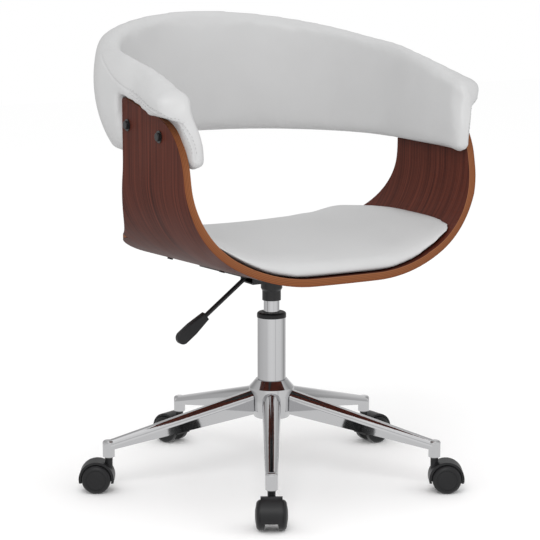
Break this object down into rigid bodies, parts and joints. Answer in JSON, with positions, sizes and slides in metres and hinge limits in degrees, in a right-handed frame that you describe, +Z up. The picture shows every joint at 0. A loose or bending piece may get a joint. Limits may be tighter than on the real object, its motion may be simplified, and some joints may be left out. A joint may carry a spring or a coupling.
{
  "type": "desk chair",
  "caption": "Swivel desk chair: bent plywood shell with arms, padded seat and horseshoe back, gas lift with a side lever, star base on twin-wheel casters.",
  "frame": {"origin": "on the floor, on the axis of the gas column", "axes": "+Z up; the sitter looks along -Y; +X is the sitter's left"},
  "size_m": [0.6675, 0.66, 0.8169],
  "materials": {
    "chrome": "polished",
    "black_plastic": "satin",
    "steel": "brushed",
    "dark_steel": "satin",
    "walnut": "satin lacquer",
    "board": "raw",
    "foam": "matt",
    "leatherette": "soft sheen",
    "rubber": "matt"
  },
  "bodies": {
    "base": {"base_hub": "chrome", "column_tube": "chrome", "guide_bush": "black_plastic", "thrust_bearing": "steel", "bearing_washer": "steel", "base_leg_1": "chrome", "base_leg_2": "chrome", "base_leg_3": "chrome", "base_leg_4": "chrome", "base_leg_5": "chrome", "caster_stem_1": "steel", "caster_stem_2": "steel", "caster_stem_3": "steel", "caster_stem_4": "steel", "caster_stem_5": "steel"},
    "lift_rod": {"piston_rod": "steel", "retaining_clip": "steel", "buffer": "rubber"},
    "seat": {"gas_cylinder": "dark_steel", "taper_socket": "dark_steel", "seat_plate": "dark_steel", "lever_bracket": "dark_steel", "lever_pivot_pin": "steel", "plate_bolts": "dark_steel", "shell_t_nuts": "steel", "plywood_shell": "walnut", "seat_board": "board", "seat_foam": "foam", "seat_cover": "leatherette", "seat_screws": "dark_steel", "back_board": "board", "back_foam": "foam", "back_cover": "leatherette", "arm_bolts": "dark_steel", "arm_washers": "steel", "arm_t_nuts": "steel"},
    "lever": {"lever_rod": "dark_steel", "lever_grip": "black_plastic"},
    "release": {"release_pin": "steel"},
    "caster_1": {"caster_hood_1": "black_plastic", "caster_axle_1": "steel"},
    "wheel_left_1": {"caster_wheel_left_1": "black_plastic"},
    "wheel_right_1": {"caster_wheel_right_1": "black_plastic"},
    "caster_2": {"caster_hood_2": "black_plastic", "caster_axle_2": "steel"},
    "wheel_left_2": {"caster_wheel_left_2": "black_plastic"},
    "wheel_right_2": {"caster_wheel_right_2": "black_plastic"},
    "caster_3": {"caster_hood_3": "black_plastic", "caster_axle_3": "steel"},
    "wheel_left_3": {"caster_wheel_left_3": "black_plastic"},
    "wheel_right_3": {"caster_wheel_right_3": "black_plastic"},
    "caster_4": {"caster_hood_4": "black_plastic", "caster_axle_4": "steel"},
    "wheel_left_4": {"caster_wheel_left_4": "black_plastic"},
    "wheel_right_4": {"caster_wheel_right_4": "black_plastic"},
    "caster_5": {"caster_hood_5": "black_plastic", "caster_axle_5": "steel"},
    "wheel_left_5": {"caster_wheel_left_5": "black_plastic"},
    "wheel_right_5": {"caster_wheel_right_5": "black_plastic"}
  },
  "joints": [
    {"name": "seat_swivel", "type": "hinge", "parent": "base", "child": "lift_rod", "pos_m": [0, 0, 0.128], "axis": [0, 0, 1], "continuous": true},
    {"name": "seat_height", "type": "slide", "parent": "lift_rod", "child": "seat", "axis": [0, 0, 1], "range_m": [0, 0.09]},
    {"name": "lever_lift", "type": "hinge", "parent": "seat", "child": "lever", "pos_m": [-0.045, 0, 0.3704], "axis": [0, 1, 0], "range_deg": [0, 4.5]},
    {"name": "release_press", "type": "slide", "parent": "seat", "child": "release", "axis": [0, 0, -1], "range_m": [0, 0.0036]},
    {"name": "caster_swivel_1", "type": "hinge", "parent": "base", "child": "caster_1", "pos_m": [-0.1483, -0.25686, 0.05], "axis": [0, 0, 1], "continuous": true},
    {"name": "wheel_spin_left_1", "type": "hinge", "parent": "caster_1", "child": "wheel_left_1", "pos_m": [-0.1588, -0.27505, 0.025], "axis": [-0.866, 0.5, 0], "continuous": true},
    {"name": "wheel_spin_right_1", "type": "hinge", "parent": "caster_1", "child": "wheel_right_1", "pos_m": [-0.1588, -0.27505, 0.025], "axis": [-0.866, 0.5, 0], "continuous": true},
    {"name": "caster_swivel_2", "type": "hinge", "parent": "base", "child": "caster_2", "pos_m": [0.19846, -0.22042, 0.05], "axis": [0, 0, 1], "continuous": true},
    {"name": "wheel_spin_left_2", "type": "hinge", "parent": "caster_2", "child": "wheel_left_2", "pos_m": [0.21665, -0.23092, 0.025], "axis": [-0.5, -0.866, 0], "continuous": true},
    {"name": "wheel_spin_right_2", "type": "hinge", "parent": "caster_2", "child": "wheel_right_2", "pos_m": [0.21665, -0.23092, 0.025], "axis": [-0.5, -0.866, 0], "continuous": true},
    {"name": "caster_swivel_3", "type": "hinge", "parent": "base", "child": "caster_3", "pos_m": [0.27096, 0.12064, 0.05], "axis": [0, 0, 1], "continuous": true},
    {"name": "wheel_spin_left_3", "type": "hinge", "parent": "caster_3", "child": "wheel_left_3", "pos_m": [0.29188, 0.12247, 0.025], "axis": [0.0872, -0.9962, 0], "continuous": true},
    {"name": "wheel_spin_right_3", "type": "hinge", "parent": "caster_3", "child": "wheel_right_3", "pos_m": [0.29188, 0.12247, 0.025], "axis": [0.0872, -0.9962, 0], "continuous": true},
    {"name": "caster_swivel_4", "type": "hinge", "parent": "base", "child": "caster_4", "pos_m": [-0.031, 0.29498, 0.05], "axis": [0, 0, 1], "continuous": true},
    {"name": "wheel_spin_left_4", "type": "hinge", "parent": "caster_4", "child": "wheel_left_4", "pos_m": [-0.03887, 0.31445, 0.025], "axis": [0.9272, 0.3746, 0], "continuous": true},
    {"name": "wheel_spin_right_4", "type": "hinge", "parent": "caster_4", "child": "wheel_right_4", "pos_m": [-0.03887, 0.31445, 0.025], "axis": [0.9272, 0.3746, 0], "continuous": true},
    {"name": "caster_swivel_5", "type": "hinge", "parent": "base", "child": "caster_5", "pos_m": [-0.29012, 0.06167, 0.05], "axis": [0, 0, 1], "continuous": true},
    {"name": "wheel_spin_left_5", "type": "hinge", "parent": "caster_5", "child": "wheel_left_5", "pos_m": [-0.30831, 0.07217, 0.025], "axis": [0.5, 0.866, 0], "continuous": true},
    {"name": "wheel_spin_right_5", "type": "hinge", "parent": "caster_5", "child": "wheel_right_5", "pos_m": [-0.30831, 0.07217, 0.025], "axis": [0.5, 0.866, 0], "continuous": true}
  ],
  "couplings": [
    {"joint": "release_press", "follows": "lever_lift", "m_per_rad": 0.045}
  ]
}
